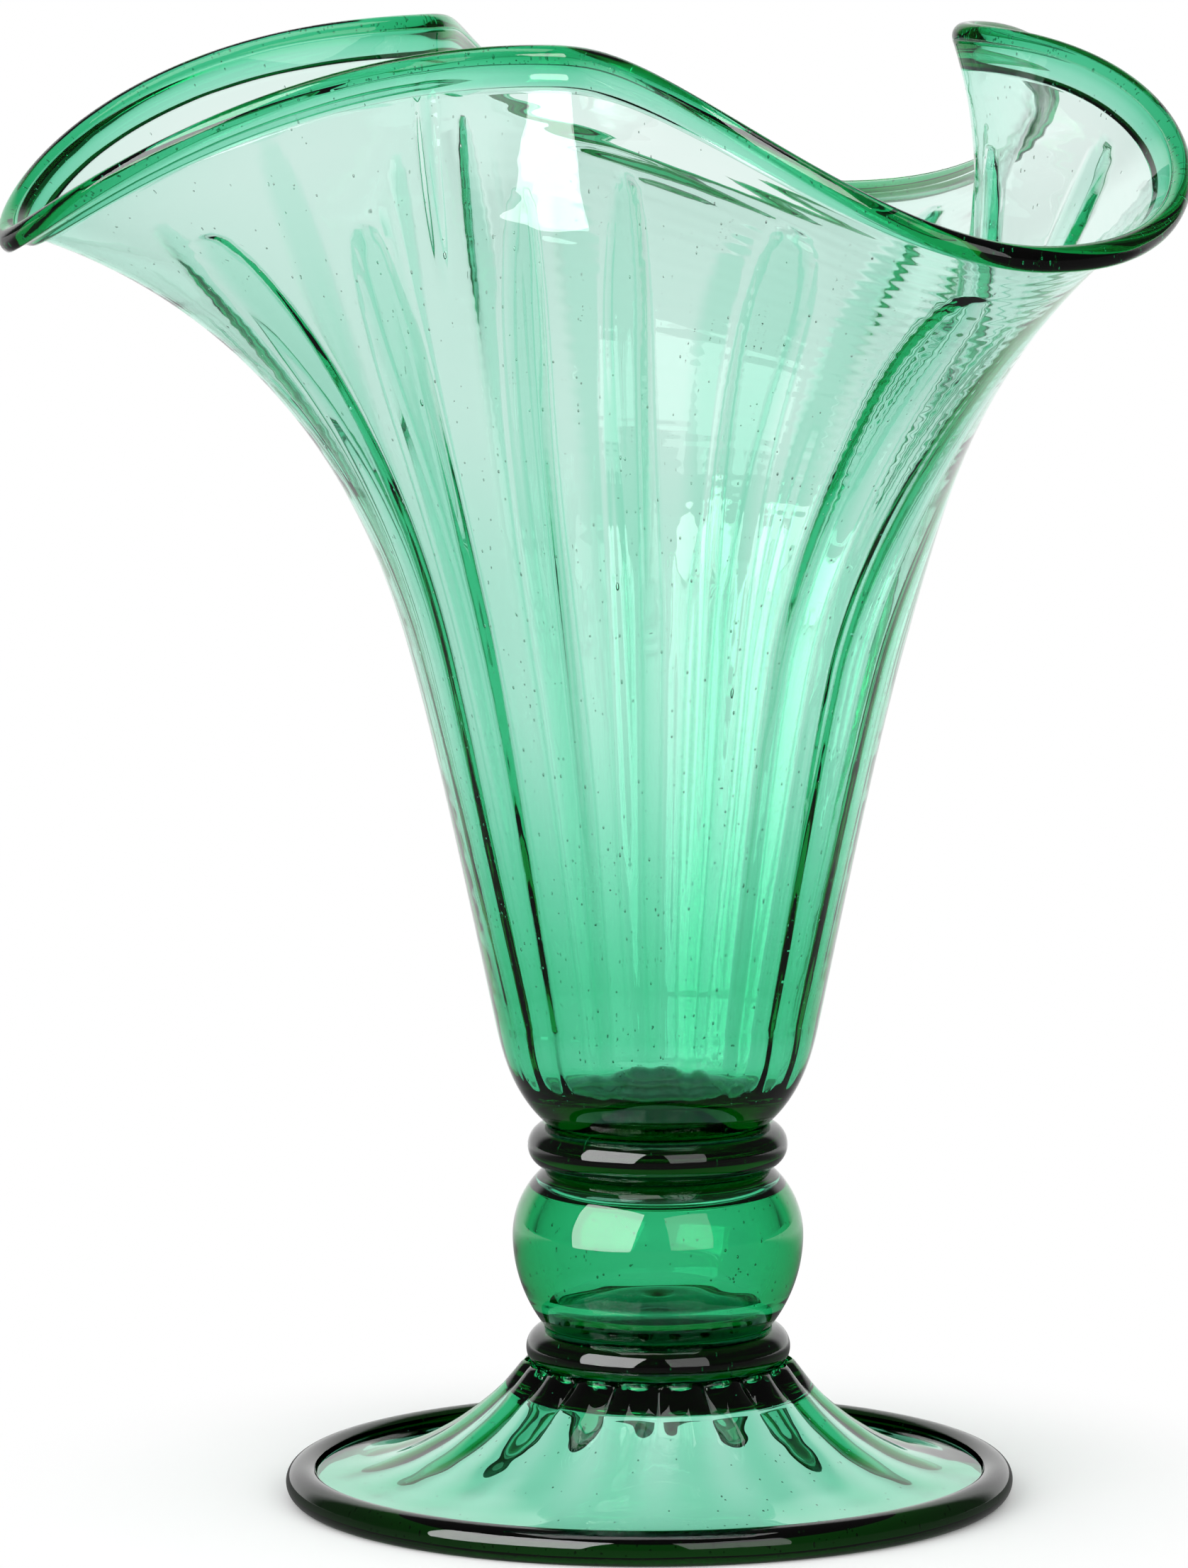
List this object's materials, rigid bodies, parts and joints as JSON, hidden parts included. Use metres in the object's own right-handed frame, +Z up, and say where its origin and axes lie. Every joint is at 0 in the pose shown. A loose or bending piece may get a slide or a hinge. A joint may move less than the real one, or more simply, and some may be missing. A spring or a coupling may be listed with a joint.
{
  "type": "fan vase",
  "caption": "Footed blown-glass fan vase: ruffled ribbed bowl with a folded rim, on a hollow ball knop between two wafers and a folded foot.",
  "frame": {"origin": "centre of the foot ring's flat rest band, on the surface that the vase stands on", "axes": "+Z up along the stem, -Y towards the front of the vase, +X to the right seen from the front"},
  "size_m": [0.2345, 0.2594, 0.3001],
  "materials": {
    "green_glass": "fire-polished clear green glass with fine seeds"
  },
  "bodies": {
    "root": {"foot": "green_glass", "foot_rim_fold": "green_glass", "lower_merese": "green_glass", "ball_knop": "green_glass", "upper_merese": "green_glass", "bowl": "green_glass", "bowl_rim_fold": "green_glass"}
  },
  "joints": []
}
